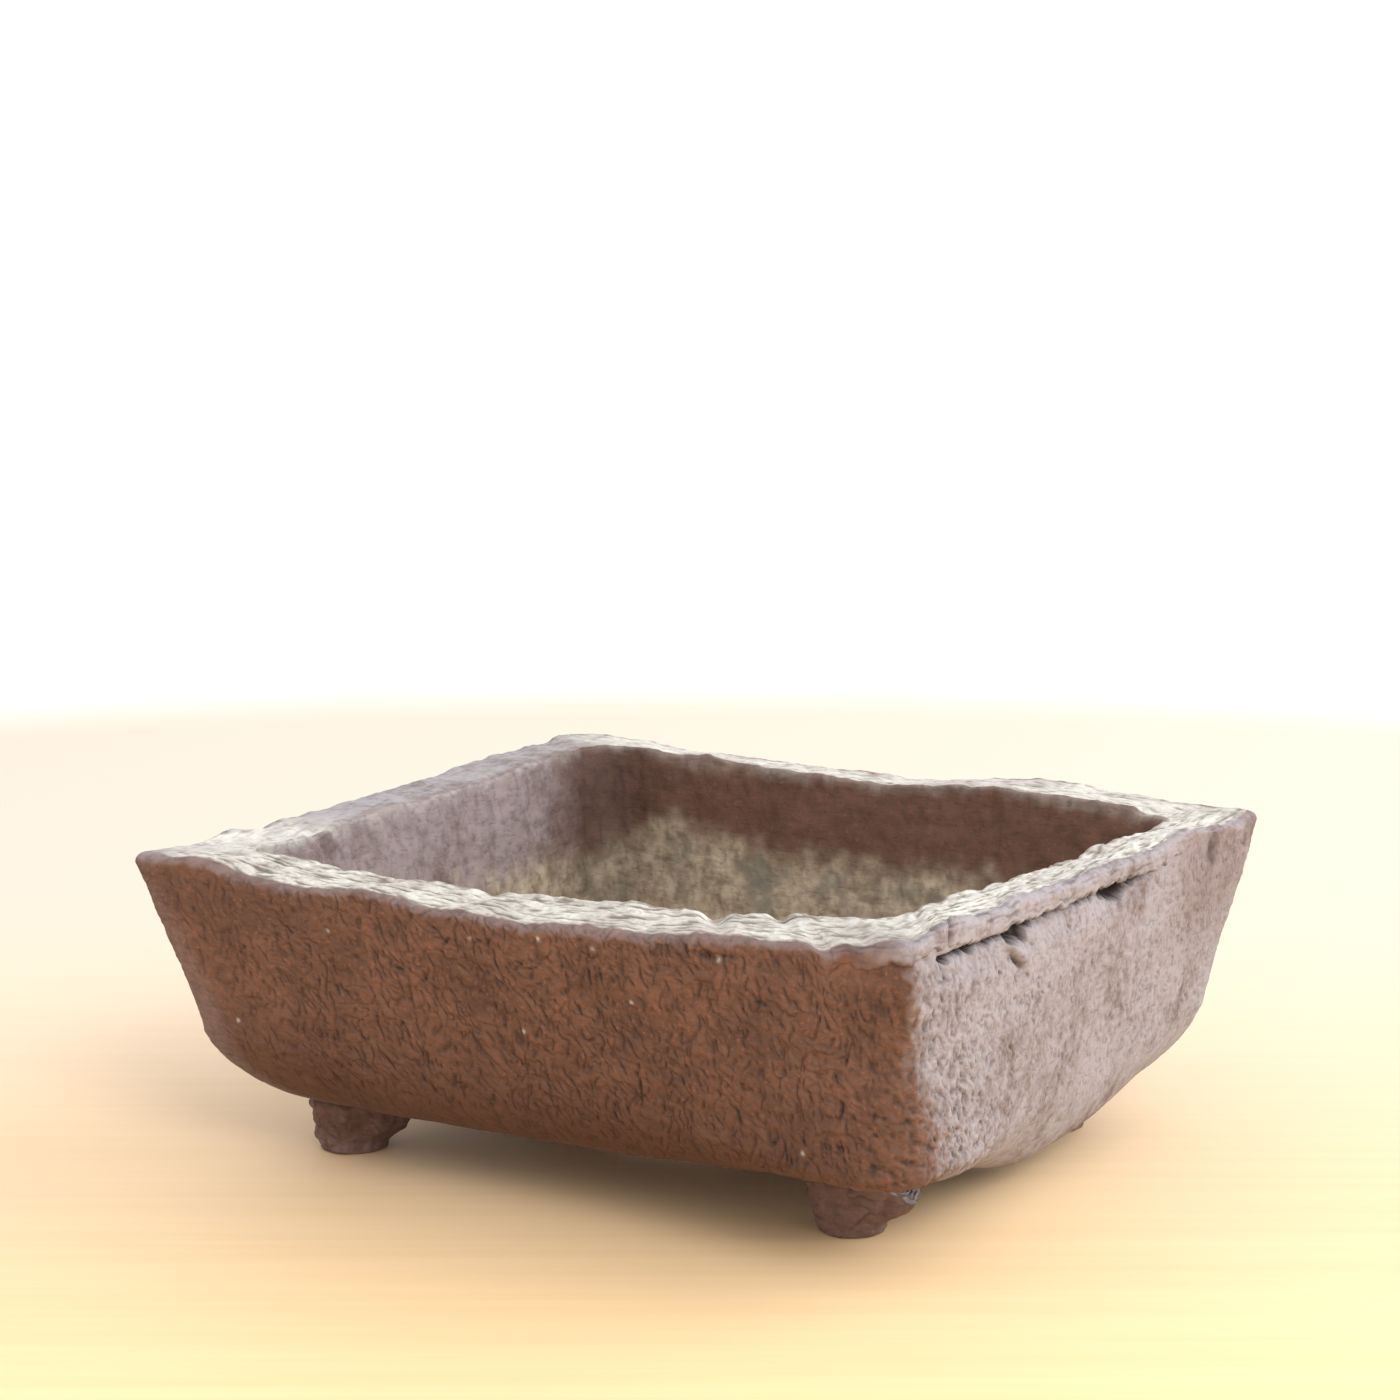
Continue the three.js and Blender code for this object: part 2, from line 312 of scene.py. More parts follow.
def edge_heights(stations):
    """The heights of the rim's outer and inner edges at the stations."""
    place = stations.on_rim()
    sink = np.sin(math.pi * stations.run)
    clear = smoothstep(sink, 0, 0.12)
    crest = RIM_HEIGHT + stations.between("rise")
    outer = crest - stations.of_wall("outer_sag") * sink
    inner = crest - stations.of_wall("inner_sag") * sink
    for wall in range(4):
        here = stations.wall == wall
        axis = place[here, wall % 2]
        outer[here] += bumps(axis, OUTER_EDGE[wall]) * clear[here]
        nearer = 1 - RIM_WIDTH / (HALF_LENGTH, HALF_DEPTH)[wall % 2]
        inner[here] += bumps(axis * nearer, INNER_EDGE[wall]) * clear[here]
    outer += layered(on_ground(place), OUTER_EDGE_NOISE)
    inner += layered(on_ground(place), INNER_EDGE_NOISE)
    return outer, inner


def on_ground(place):
    """Places in plan as points on the ground."""
    return np.concatenate([place, np.zeros((len(place), 1))], 1)


def section_row(name, share, form):
    """How far in a row of the section lies from the rim's rectangle, and its height."""
    turn = share * math.pi / 2
    if name == "lip":
        return LIP * (1 - math.sin(turn)), form["outer"] - LIP * (1 - math.cos(turn))
    if name == "batter":
        return form["inset"] * share, lerp(form["outer"] - LIP, form["belly"], share)
    if name == "turn":
        inset, belly, pull, full = [form[key] for key in ("inset", "belly", "pull", "full")]
        start = inset + TURN_START - 0.5 * full
        inward = curve(inset, start, TURN_REACH - full, FLOOR_INSET, share)
        return inward, curve(belly, lerp(pull, belly, TURN_SHARE), pull, UNDERSIDE, share)
    if name == "seam":
        return FLOOR_INSET, lerp(UNDERSIDE, FLOOR_TOP, share)
    if name == "rise":
        inward = curve(FLOOR_INSET, *COVE_HANDLES, INNER_BELLY_INSET, share)
        return inward, curve(FLOOR_TOP, FLOOR_TOP, COVE_HEIGHT, INNER_BELLY_HEIGHT, share)
    if name == "inside":
        inward = lerp(INNER_BELLY_INSET, RIM_WIDTH, share)
        return inward, lerp(INNER_BELLY_HEIGHT, form["inner"] - EDGE_DROP, share)
    if name == "edge":
        inward = RIM_WIDTH - EDGE_REACH * (1 - math.cos(turn))
        return inward, form["inner"] - EDGE_DROP * (1 - math.sin(turn))
    return lerp(RIM_WIDTH - EDGE_REACH, LIP, share), lerp(form["inner"], form["outer"], share)


def uneven_inset(stations, height, inside):
    """What is added to the insets: ripples inside the rim, and pinched corners outside."""
    place = on_ground(stations.on_rim()) + 0 * height[..., None]
    place[..., 2] = height
    ripples = smoothstep(height, 26, 36) * inside * layered(place, INNER_RIPPLES)
    pinched = stations.close("pinch", 0.1) * spot((height, PINCH_HEIGHT, PINCH_SPREAD))
    return ripples + (1 - inside) * pinched


def corner_radii(stations, height, inside):
    """The corners' radii in plan, which outside go over to another one from rim to belly."""
    turned = smoothstep(RIM_HEIGHT - height, 0, RIM_HEIGHT - stations.settled("belly"))
    outer = lerp(stations.between("radius"), stations.between("low_radius"), turned)
    return lerp(outer, INNER_CORNER_RADIUS, inside)


def skin(stations, rows):
    """The pot's skin before relief: points in millimetres, their insets, and the crest."""
    outer, inner = edge_heights(stations)
    form = {key: stations.settled(key) for key in ("belly", "inset", "pull")}
    form.update(outer=outer, inner=inner, full=stations.close("full", 0.3))
    form["inset"] = form["inset"] - stations.close("swollen", 0.25)
    shape = (len(rows), len(stations.run))
    inward, height, inside = np.zeros(shape), np.zeros(shape), np.zeros(shape)
    for row, (name, share) in enumerate(rows):
        inward[row], height[row] = section_row(name, share, form)
        inside[row] = 1 - share if name == "rim" else name in ("rise", "inside", "edge")
    inward = inward + uneven_inset(stations, height, inside)
    share = (height - FLOOR_TOP) / (RIM_HEIGHT - FLOOR_TOP) * inside
    insets = [inward + (wall["rim"] - RIM_WIDTH) * share for wall in WALLS]
    plan = stations.plan(insets, corner_radii(stations, height, inside))
    return np.concatenate([plan, height[..., None]], axis=-1), inward, outer


def strokes(along, down, marks):
    """Short pressed marks on a grid: along in (row, column), down by row, and one dict a mark."""
    pressed = np.zeros_like(along)
    for mark in marks:
        reach = mark["length"] + 3 * mark["width"]
        top, bottom = np.searchsorted(down, [mark["down"] - reach, mark["down"] + reach])
        if top >= bottom:
            continue
        middle = along[(top + bottom) // 2]
        left, right = np.searchsorted(middle, [mark["along"] - reach, mark["along"] + reach])
        across = along[top:bottom, left:right] - mark["along"]
        deep = down[top:bottom, None] - mark["down"]
        cos, sin = math.cos(mark["lean"]), math.sin(mark["lean"])
        run = deep * cos + across * sin
        side = across * cos - deep * sin - mark["bend"] * run**2
        shape = np.exp(-((side / mark["width"]) ** 2))
        shape *= fall(np.abs(run), 0.55 * mark["length"], mark["length"])
        part = pressed[top:bottom, left:right]
        np.maximum(part, mark["depth"] * shape, out=part)
    return pressed


# How each wall's outside was worked: its random marks, their lean and the share of them that
# lies at any angle, its wrinkles with their lean and cell, across and along, and the pale bloom,
# which is partly a painted sheen where the wall turns to the light.
SKINS = [
    dict(count=2600, depth=(0.1, 1), length=(0.4, 1.2), width=(0.12, 0.2), lean=(0.2, 0.4),
         crossed=0.3, wrinkle=0.32, tilt=0.15, cell=(1.2, 1.9, 9), bloom_and_sheen=0.0),
    dict(count=2600, depth=(0.05, 0.9), length=(0.25, 0.75), width=(0.11, 0.2), lean=(0.45, 0.45),
         crossed=0.3, wrinkle=0.17, tilt=0.4, cell=(1.05, 1.6, 9), bloom_and_sheen=0.8),
    dict(count=1800, depth=(0.1, 0.9), length=(0.5, 1.4), width=(0.16, 0.25), lean=(0.2, 0.5),
         crossed=0.3, wrinkle=0.24, tilt=0.2, cell=(1.35, 2.4, 9), bloom_and_sheen=0.15),
    dict(count=1600, depth=(0.1, 0.8), length=(0.5, 1.3), width=(0.16, 0.25), lean=(0.3, 0.5),
         crossed=0.3, wrinkle=0.2, tilt=0.3, cell=(1.35, 2.4, 9), bloom_and_sheen=0.35),
]


def scattered_marks(kind, reach, seed):
    """Random marks over a wall's outside."""
    rng = np.random.default_rng(seed)
    marks = []
    for _ in range(kind["count"]):
        crossed = rng.random() < kind["crossed"]
        marks.append(
            dict(
                along=rng.uniform(-reach, reach),
                down=rng.uniform(1.6, 42),
                length=rng.uniform(*kind["length"]),
                width=rng.uniform(*kind["width"]),
                depth=lerp(*kind["depth"], rng.random() ** 2),
                lean=rng.uniform(-math.pi / 2, math.pi / 2) if crossed else rng.normal(*kind["lean"]),
                bend=rng.normal(0, 0.16),
            )
        )
    return marks


# Holes torn under the strip on the right wall, along an uneven line: place along Y, height,
# half width and half height, and depth.
TEAR_LINE = 34.85
TEARS = [
    (-36.3, 34.7, 0.9, 0.50, 1.2),
    (-33.2, 34.9, 1.1, 0.45, 1.3),
    (-30.9, 34.8, 0.9, 0.60, 1.6),
    (-26.5, 34.7, 0.8, 0.40, 1.0),
    (-20.9, 34.2, 2.5, 0.80, 2.1),
    (-18.2, 33.7, 0.8, 1.0, 1.4),
    (-16.6, 34.7, 1.3, 0.55, 1.6),
    (-12.0, 34.8, 0.9, 0.40, 1.0),
    (-4.6, 34.6, 0.8, 0.45, 1.1),
    (-1.2, 34.5, 0.7, 0.40, 1.0),
    (2.2, 34.3, 1.2, 0.60, 1.7),
    (5.6, 34.0, 2.3, 0.95, 2.2),
    (9.6, 34.6, 1.7, 0.55, 1.4),
]


def tears(y, z):
    """How deep the right wall is torn at a place, and along the line under the strip."""
    line = np.stack([y, 0 * y, 0 * y], -1)
    wide = 0.45 + 0.35 * noise(line, 2.6, 63)
    depth = spot((z, TEAR_LINE, wide)) * within(y, -38, 13, 2)
    for place, height, wide, high, deep in TEARS:
        near = ((y - place) / wide) ** 2 + ((z - height) / high) ** 2
        depth = np.maximum(depth, deep * fall(near, 0.45, 1.5))
    return depth


TONGUE = (-20.4, 32.4)  # its place along Y, and its height
TONGUE_LEAN = (0.86, -0.5)


def tongue(y, z):
    """A flap of clay torn down under the largest hole, and the crack beneath it."""
    y, z = y - TONGUE[0], z - TONGUE[1]
    run = y * TONGUE_LEAN[0] + z * TONGUE_LEAN[1]
    side = z * TONGUE_LEAN[0] - y * TONGUE_LEAN[1]
    flap = 0.85 * spot((run, -1.6, 3.4), (side, 0, 0.75))
    return flap, spot((run, 0.6, 2.0), (side, -1.05, 0.3))


class Grid:
    """A stretch of the pot's skin before relief, and what relief and paint are made from."""

    def __init__(self, stations, rows):
        self.stations, self.rows = stations, rows
        self.points, self.inward, crest = skin(stations, rows)
        self.drop = crest - self.points[..., 2]
        self.outside = self.zone("lip", "batter", "turn")
        self.inside = self.zone("rise", "inside", "edge")
        self.top = self.zone("rim")
        self.wall = np.broadcast_to(stations.wall, self.inward.shape)
        self.shares = wall_shares(stations)
        warp = np.stack([noise(self.points, 2.6, seed) for seed in (1, 2, 3)], -1)
        self.bent = self.points + 0.9 * warp
        self.medium = noise(self.bent, 1.1, 4)
        self.patchy = noise(self.points, 4.5, 72)
        self.soil = np.zeros_like(self.medium)

    def zone(self, *names):
        """1 on the rows of those stretches, and 0 elsewhere."""
        name = np.array([row[0] for row in self.rows])[:, None]
        return np.broadcast_to(np.isin(name, names), self.inward.shape) * 1.0

    def walls(self):
        """Each wall that has a share in the grid, and its columns in order along it."""
        for wall in range(4):
            found = np.nonzero(self.shares[wall] > 0.001)[0]
            steps = np.diff(found)
            if len(steps) and steps.max() > 1:
                found = np.roll(found, -1 - steps.argmax())
            if len(found):
                yield wall, found

    def along(self, wall, part):
        """The place along a wall, at the points of a part of the grid."""
        x, y, _ = split(self.points[part])
        return (x, y, -x, -y)[wall]

    def blend(self, by_wall):
        """A value for each wall, shared smoothly over the corners."""
        return np.asarray(by_wall) @ self.shares


def depths_behind(x, y):
    """How far a place is behind the plane of each wall's rim."""
    return np.stack([y + HALF_DEPTH, HALF_LENGTH - x, HALF_DEPTH - y, x + HALF_LENGTH])


def wall_shares(stations):
    """How far each station belongs to each wall, going over smoothly at the corners."""
    behind = depths_behind(*stations.on_rim().T)
    soft = 4
    shares = np.ones_like(behind)
    for wall in range(4):
        for beside in ((wall + 1) % 4, (wall - 1) % 4):
            shares[wall] *= smoothstep(behind[beside] - behind[wall], -soft, soft)
    return shares / shares.sum(0)


def path_lengths(points):
    """How far along a path of points each of them lies."""
    steps = np.linalg.norm(np.diff(points, axis=0), axis=-1)
    return np.concatenate([[0], np.cumsum(steps)])


def wrinkles(grid, index, part):
    """Puffy folds of clay drawn up by a wet hand, and the broken valleys between them."""
    kind = SKINS[index]
    along, z = grid.along(index, part), grid.points[part][..., 2]
    cos, sin = math.cos(kind["tilt"]), math.sin(kind["tilt"])
    lay = np.stack([along * cos - z * sin, along * sin + z * cos, 0 * z], -1)
    drift = np.stack([noise(lay, 6, 45), noise(lay, 6, 46), 0 * z], -1)
    shiver = np.stack([noise(lay, 1.5, 47), noise(lay, 1.5, 48), 0 * z], -1)
    lay += 1.5 * drift + 0.35 * shiver
    folded = noise(lay, kind["cell"], 10 + index)
    crossing = noise(lay[..., [1, 0, 2]], kind["cell"], 15 + index)
    broken = smoothstep(noise(lay, 1.3, 35 + index), -0.3, 0.25)
    turned = kind["tilt"] + 0.9 * noise(lay, 11, 49)
    valley = spot((folded, 0, 0.2)) * broken * crossed_by(folded, turned)
    other = spot((crossing, 0, 0.15)) * (1 - broken) * crossed_by(crossing, turned + 0.9)
    valley = np.maximum(valley, 0.7 * other)
    puff = 0.8 * np.minimum(np.abs(folded), 0.45) + 0.45 * crossing
    return kind["wrinkle"] * (puff - 0.6 * valley), kind["wrinkle"] * valley


def corner_grains(grid, part):
    """Grains and pits by the near right corner: coarse and slanting low down, drawn up above."""
    points = grid.bent[part]
    x, y, z = split(grid.points[part])
    low = fall(z, 19, 25) * spot((y, -38, 17), (x, 46, 7))
    wide = 0.45 * fall(y, -32, -2) * fall(z, 24, 33) * (x > 38)
    low = np.maximum(low, wide)
    high = spot((y, -42, 11), (x, 47, 5)) * (1 - low)
    across, deep, up = split(points)
    slanted = np.stack([deep - up, deep + up, across], -1)
    coarse = 0.75 * noise(slanted, (3.0, 1.15, 1.0), 64) + 0.6 * noise(points, 0.62, 66)
    ridges = noise(points, (0.85, 0.85, 3.4), 65)
    pits = 0.85 * low * smoothstep(-coarse, 0.15, 0.55)
    pits = pits + 0.6 * high * smoothstep(-ridges, 0.15, 0.5)
    return 0.26 * low * coarse + 0.24 * high * ridges, pits


def crossed_by(field, turned):
    """How far the level lines of a field run up the wall, turned over by an angle: 0 to 1."""
    down, along = np.gradient(field)
    slope = np.hypot(down, along) + 1e-9
    across = np.abs(along * np.cos(turned) - down * np.sin(turned)) / slope
    return smoothstep(across, 0.3, 0.9)


def how_worked(index, points):
    """How strongly a wall's outside was worked at its points: least by the rim and low down."""
    x, y, z = split(points)
    worked = smoothstep(z, 5, 15) * fall(z, 34.2, 36.6)
    if index == RIGHT:
        worked = worked * lerp(1.25, 0.75, smoothstep(y, -38, 0))
    if index == FRONT:
        worked = worked * lerp(0.6, 1, smoothstep(x, -46, -22))
        under_cap = smoothstep(x, CAP_LOW.x - 1, CAP_LOW.x + 1) * smoothstep(z, 31, 34)
        worked = worked * (1 - 0.65 * under_cap)
    return worked


def pressed_marks(grid, index, part):
    """The short marks pressed in a wall's outside, deeper in some areas than in others."""
    points = grid.points[part]
    down = path_lengths(points[:, points.shape[1] // 2])
    marks = scattered_marks(SKINS[index], 52, 20 + index)
    deeper = smoothstep(noise(points, 8, 30 + index), -0.5, 0.2)
    return strokes(grid.along(index, part), down, marks) * lerp(0.35, 1, deeper)


def worked_clay(grid):
    """Height and painted crease shade of the walls' outsides: puffy folds, grains, and short marks.
    """
    height = np.zeros(grid.points.shape[:2])
    crease_shade = np.zeros_like(height)
    outer_rows = np.nonzero(grid.outside[:, 0])[0]
    for index, columns in grid.walls():
        part = np.s_[outer_rows[0] : outer_rows[-1] + 1, columns]
        worked = how_worked(index, grid.points[part]) * grid.shares[index][columns]
        folds, valley = wrinkles(grid, index, part)
        grains, pits = corner_grains(grid, part)
        pressed = pressed_marks(grid, index, part)
        height[part] += worked * (folds + grains + 0.05 * grid.medium[part] - 0.28 * pressed)
        crease_shade[part] += worked * (2.2 * valley + pits + 0.8 * pressed)
    return height, crease_shade


def wiped_inside(grid):
    """Height and painted crease shade of the inside, wiped with a finger and rough where the soil
    lay.
    """
    wiped = noise(grid.points, (5, 5, 1.6), 40)
    lumps = noise(grid.bent, 2.4, 41)
    height = 0.14 * wiped + 0.12 * lumps + 0.05 * grid.medium
    return grid.inside * height, grid.inside * 0.35 * spot((lumps, 0, 0.12))


# How strongly the wire's streaks show on the rim of each wall.
STREAKS = [1.2, 1.1, 0.8, 0.4]


def wire_cut_top(grid):
    """Height and painted crease shade of the rim, cut by a wire along each wall. Its grooves hold
    soil.
    """
    height = np.zeros(grid.points.shape[:2])
    crease_shade = np.zeros_like(height)
    for wall, columns in grid.walls():
        part = np.s_[:, columns]
        x, y, _ = split(grid.points[part])
        behind = depths_behind(x, y)[wall]
        lay = np.stack([grid.along(wall, part), behind, 9.0 * wall + 0 * x], -1)
        lay[..., 1] += 0.9 * noise(lay, (9, 4, 9), 50)
        streak = noise(lay, (6.0, 0.95, 9), 51)
        thread = noise(lay, (3.0, 0.50, 9), 52)
        fine = noise(lay, (1.5, 0.34, 9), 53)
        share = grid.shares[wall][columns] * STREAKS[wall]
        height[part] += share * (0.13 * streak + 0.11 * thread + 0.06 * fine)
        crease_shade[part] += share * 0.6 * smoothstep(-streak - 0.8 * thread - 0.6 * fine, 0.1, 0.9)
        grid.soil[part] += share * smoothstep(-0.6 * streak - thread - 0.8 * fine, -0.3, 0.6)
    return grid.top * (height + 0.05 * grid.medium), grid.top * crease_shade


def damage(grid):
    """Height and painted shade in the hollows of the tears, the torn tongue, a scar and a chip."""
    x, y, z = split(grid.points)
    on_right = (grid.wall == RIGHT) * grid.outside
    on_front = (grid.wall == FRONT) * grid.outside
    ragged_y = y + 0.5 * noise(grid.points, 1.3, 60)
    ragged_z = z + 0.25 * noise(grid.points, 0.9, 61)
    torn = tears(ragged_y, ragged_z) * on_right
    flap, crack = tongue(y, z)
    scar = spot((y, 31.6, 1.3), (z, 34.6, 2.4)) * on_right
    chip = spot((x, 26.1, 0.7), (z, 33.9, 0.45)) * on_front
    hollow = within(y, -39, 14, 3) * smoothstep(z, 31, 34.6) * on_right
    pulled = lerp(0.35, 0.75, smoothstep(noise(grid.points, 3, 62), -0.4, 0.4))
    height = on_right * (flap - 0.6 * crack) - torn - scar * (0.5 + 0.5 * grid.medium)
    height -= 0.5 * chip + hollow * pulled
    crease_shade = 1.6 * smoothstep(torn, 0.3, 1.0) + 1.2 * on_right * crack + 0.7 * scar + 1.1 * chip
    return height, crease_shade


LET_IN_DEPTH = 0.5


def let_in(grid):
    """Where the walls are let in under the strip and the cap, from 0 to 1."""
    x, y, z = split(grid.points)
    strip = within(y, STRIP_LOW.y, STRIP_HIGH.y, 0.5) * smoothstep(z, 35.0, 35.5)
    strip = strip * (grid.wall == RIGHT) * fall(grid.inward, 1.6, 2.0)
    cap = 1
    for value, start in ((x, CAP_LOW.x), (-y, -CAP_HIGH.y), (z, CAP_LOW.z)):
        cap = cap * smoothstep(value, start + 0.2, start + 0.8)
    return np.maximum(strip, cap) * (1 - grid.inside)


# Round the near right corner the pale bloom and painted sheen of the lit right face begins
# this far past the corner, at these heights.
SHEEN_BLOOM_HEIGHTS = [6, 12, 16, 20, 24, 28, 34, 37]
SHEEN_BLOOM_STARTS = [6, 7, 7, 4.8, 2.4, 1.2, 0.5, 0]


def bare_rim(grid):
    """Where the rim has no dust: at its two front tips, and where the left rim was wiped."""
    x, y, _ = split(grid.points)
    left_tip = spot((x, -50, 4.5), (y, -45, 4.5))
    near_tip = spot((x, 50, 3.4), (y, -45, 3.4))
    wiped = smoothstep(y + 4 * grid.patchy, -25, -14) * fall(y, 34, 42)
    wiped = 0.92 * wiped * fall(x, -42, -38)
    return np.maximum(np.maximum(left_tip, near_tip), wiped)


def dust_on(grid):
    """Pale dust on the rim and over its inner edge, and pale grains in the front."""
    line = grid.inward + 0.8 * grid.patchy + grid.blend([0.6, 0, 0, 0])
    line = line + layered(grid.points, [(0.9, 1.6, 70), (0.6, 0.7, 79)])
    dust = grid.top * smoothstep(line, 0.6, 2.0)
    near_edge = 1.6 - grid.drop + 0.9 * noise(grid.points, 2.4, 73)
    over_edge = smoothstep(near_edge, 0, 1.5) * grid.blend([1, 0.7, 0.25, 0.6])
    dust = np.maximum(dust, grid.inside * over_edge) * (1 - bare_rim(grid))
    dust = dust * lerp(0.72, 1, smoothstep(grid.patchy, -0.5, 0.3))
    return np.maximum(dust, pale_specks(grid.points))


def past_corner(grid):
    """Where the right wall has its bloom and painted sheen, past an uneven line by the near corner.
    """
    x, y, z = split(grid.points)
    across = (y + HALF_DEPTH) - (HALF_LENGTH - x)
    start = np.interp(z, SHEEN_BLOOM_HEIGHTS, SHEEN_BLOOM_STARTS)
    start = start + layered(grid.points, [(2.0, 1.0, 77), (1.0, 4, 78)])
    soft = np.interp(z, [6, 20, 34], [3.6, 3.0, 1.4])
    past = smoothstep(across - start, -soft, 1.3 * soft)
    far_end = smoothstep(y + 3 * grid.patchy, 14, 27) * smoothstep(z, 18, 30)
    return past * smoothstep(grid.blend([0, 1, 0, 0]), 0.1, 0.45) * (1 - 0.4 * far_end)


def above_seam(grid):
    return fall(grid.inward, 8, 17)


def bloom_and_sheen_on(grid):
    """Lilac bloom and painted sheen on the outsides but the front's, on the lip, and a little inside.
    """
    x, y, _ = split(grid.points)
    kinds = [kind["bloom_and_sheen"] for kind in SKINS]
    outside = grid.blend([0, 0, kinds[BACK], kinds[LEFT]]) + kinds[RIGHT] * past_corner(grid)
    outside = lerp(0.1, outside, above_seam(grid)) * grid.outside
    lip_drop = grid.drop + 0.5 * grid.patchy + 0.5 * noise(grid.points, 1.4, 74)
    on_lip = fall(lip_drop, 0.3, 1.5) * fall(grid.inward, 6, 9)
    on_lip = on_lip * grid.blend([0.3, 0.7, 0.4, 0.9])
    at_tip = 0.95 * spot((x, 50, 4), (y, -45, 3)) * fall(grid.drop, 1.2, 2.6)
    on_rim = (1 - grid.inside) * np.maximum(on_lip, at_tip)
    # Painted shade: less of the painted sheen on the inside towards the back.
    sheen_fading_behind = 1 - 0.8 * smoothstep(y + 3 * grid.patchy, 20, 31)
    inside = grid.inside * grid.blend([0.1, 0.2, 0.05, 0.5]) * sheen_fading_behind
    return np.maximum(np.maximum(outside, on_rim), inside)


def stain_on(grid):
    """The old soil's stain inside, up to an uneven line."""
    x, _, z = split(grid.points)
    line = 27.3 + 3.5 * smoothstep(-x, 8, 36) - 5 * fall(x, -38, -30)
    line = line + layered(grid.points, [(1.1, 5, 71), (1.6, 2.2, 75)])
    return grid.inside * smoothstep(line - z, -2.5, 3.5)


def painted_shade_on(grid, far_corner_shade):
    """Painted shade: a darker tone low on the outsides, on the insides, and in the far left corner.
    """
    low = fall(grid.points[..., 2], 8, 25) * grid.blend([1, 0, 0.45, 0.45])
    outside = lerp(0.22, low, above_seam(grid)) * grid.outside
    inside = grid.inside * grid.blend([0.3, 0.22, 0.56, 0])
    return np.maximum(np.maximum(outside, inside), 0.75 * far_corner_shade)


def paint_values(grid, crease_shade):
    """The values that the materials paint from, from 0 to about 1 at every point."""
    x, y, _ = split(grid.points)
    # Painted shade in the inner far left corner, added to the darkening values.
    far_corner_shade = spot((x, -38, 10), (y, 34, 9)) * grid.inside
    # Of these values, two paint shade: in hollows and the far corner, and low down and inside. The
    # lilac one is partly a painted sheen; dust, stain and soil are the clay's own.
    return dict(
        crease_shade=np.clip(crease_shade + 0.4 * far_corner_shade, 0, 1.3),
        dust=dust_on(grid),
        bloom_and_sheen=bloom_and_sheen_on(grid),
        stain=stain_on(grid),
        painted_shade=painted_shade_on(grid, far_corner_shade),
        soil=np.clip(grid.soil, 0, 1),
    )


def plain_values(crease_shade, bloom_and_sheen, stain):
    """The same values for a piece without dust or soil."""
    zero = np.zeros_like(crease_shade)
    return dict(crease_shade=crease_shade, dust=zero, bloom_and_sheen=zero + bloom_and_sheen, stain=zero + stain,
                painted_shade=zero + 0.22, soil=zero)


def pale_specks(points):
    """A few pale grains in the clay of the front."""
    rng = np.random.default_rng(76)
    places = [(-22.9, 30.7), (36.8, 14.6), (-3.5, 32.2), (12.4, 33.0), (2.1, 22.4)]
    places += [(rng.uniform(-45, 45), rng.uniform(11, 34)) for _ in range(4)]
    x, y, z = split(points)
    on_front = y < 8 - HALF_DEPTH
    share = np.zeros_like(x)
    for place, height in places:
        near = ((x - place) ** 2 + (z - height) ** 2) / 0.22**2
        share = np.maximum(share, 0.8 * np.exp(-near) * on_front)
    return share


LEFT_TIP = np.array([-HALF_LENGTH, -HALF_DEPTH, RIM_HEIGHT])  # which keeps its sharp form


def relief(grid):
    """The height of the relief at every point, and the values that paint it."""
    height = layered(grid.points, SWELL)
    for place, reach, rise in PRESSED_OUT:
        away = ((grid.points - np.array(place)) ** 2).sum(-1)
        height += rise * np.exp(-away / reach**2) * grid.outside
    crease_shade = np.zeros_like(height)
    for layer in (worked_clay, wiped_inside, wire_cut_top, damage):
        raised, shade_in_creases = layer(grid)
        height += raised
        crease_shade += shade_in_creases
    z = grid.points[..., 2]
    height -= 0.3 * smoothstep(z, 31, 36) * grid.outside + 0.12 * grid.top
    from_tip = ((grid.points - LEFT_TIP) ** 2).sum(-1)
    height = lerp(height, 0.35, 0.85 * np.exp(-from_tip / 5.0**2))
    return height, paint_values(grid, crease_shade)


def grid_normals(points, loop_columns, loop_rows=True):
    """Unit normals of a grid, whose rows and columns may form loops."""
    if loop_rows:
        down = np.roll(points, -1, 0) - np.roll(points, 1, 0)
    else:
        down = np.gradient(points, axis=0)
    if loop_columns:
        along = np.roll(points, -1, 1) - np.roll(points, 1, 1)
    else:
        along = np.gradient(points, axis=1)
    normal = np.cross(down, along)
    return normal / np.maximum(np.linalg.norm(normal, axis=-1), 1e-9)[..., None]


def inside_box(points):
    """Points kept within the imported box."""
    low = np.array([-HALF_LENGTH, -HALF_DEPTH, 0.0])
    high = np.array([HALF_LENGTH, HALF_DEPTH, CEILING])
    return np.clip(points, low + 0.01, high - 0.01)


def quads_of(rows, columns, loop_rows, loop_columns):
    """Faces of a grid of rows and columns, wound so that they face out."""
    row = np.arange(rows if loop_rows else rows - 1)[:, None]
    column = np.arange(columns if loop_columns else columns - 1)[None, :]
    below = (row + 1) % rows
    beside = (column + 1) % columns
    corners = [row * columns + column, below * columns + column]
    corners += [below * columns + beside, row * columns + beside]
    return np.stack(np.broadcast_arrays(*corners), -1).reshape(-1, 4)


def caps_of(rows, columns, loop_rows, loop_columns):
    """Faces that close a grid's open ends."""
    if not loop_columns:
        first = np.arange(rows) * columns
        return [first[::-1], first + columns - 1]
    if not loop_rows:
        first = np.arange(columns)
        return [first, first[::-1] + (rows - 1) * columns]
    return []


def add_object(name, data):
    added = bpy.data.objects.new(name, data)
    bpy.context.scene.collection.objects.link(added)
    return added


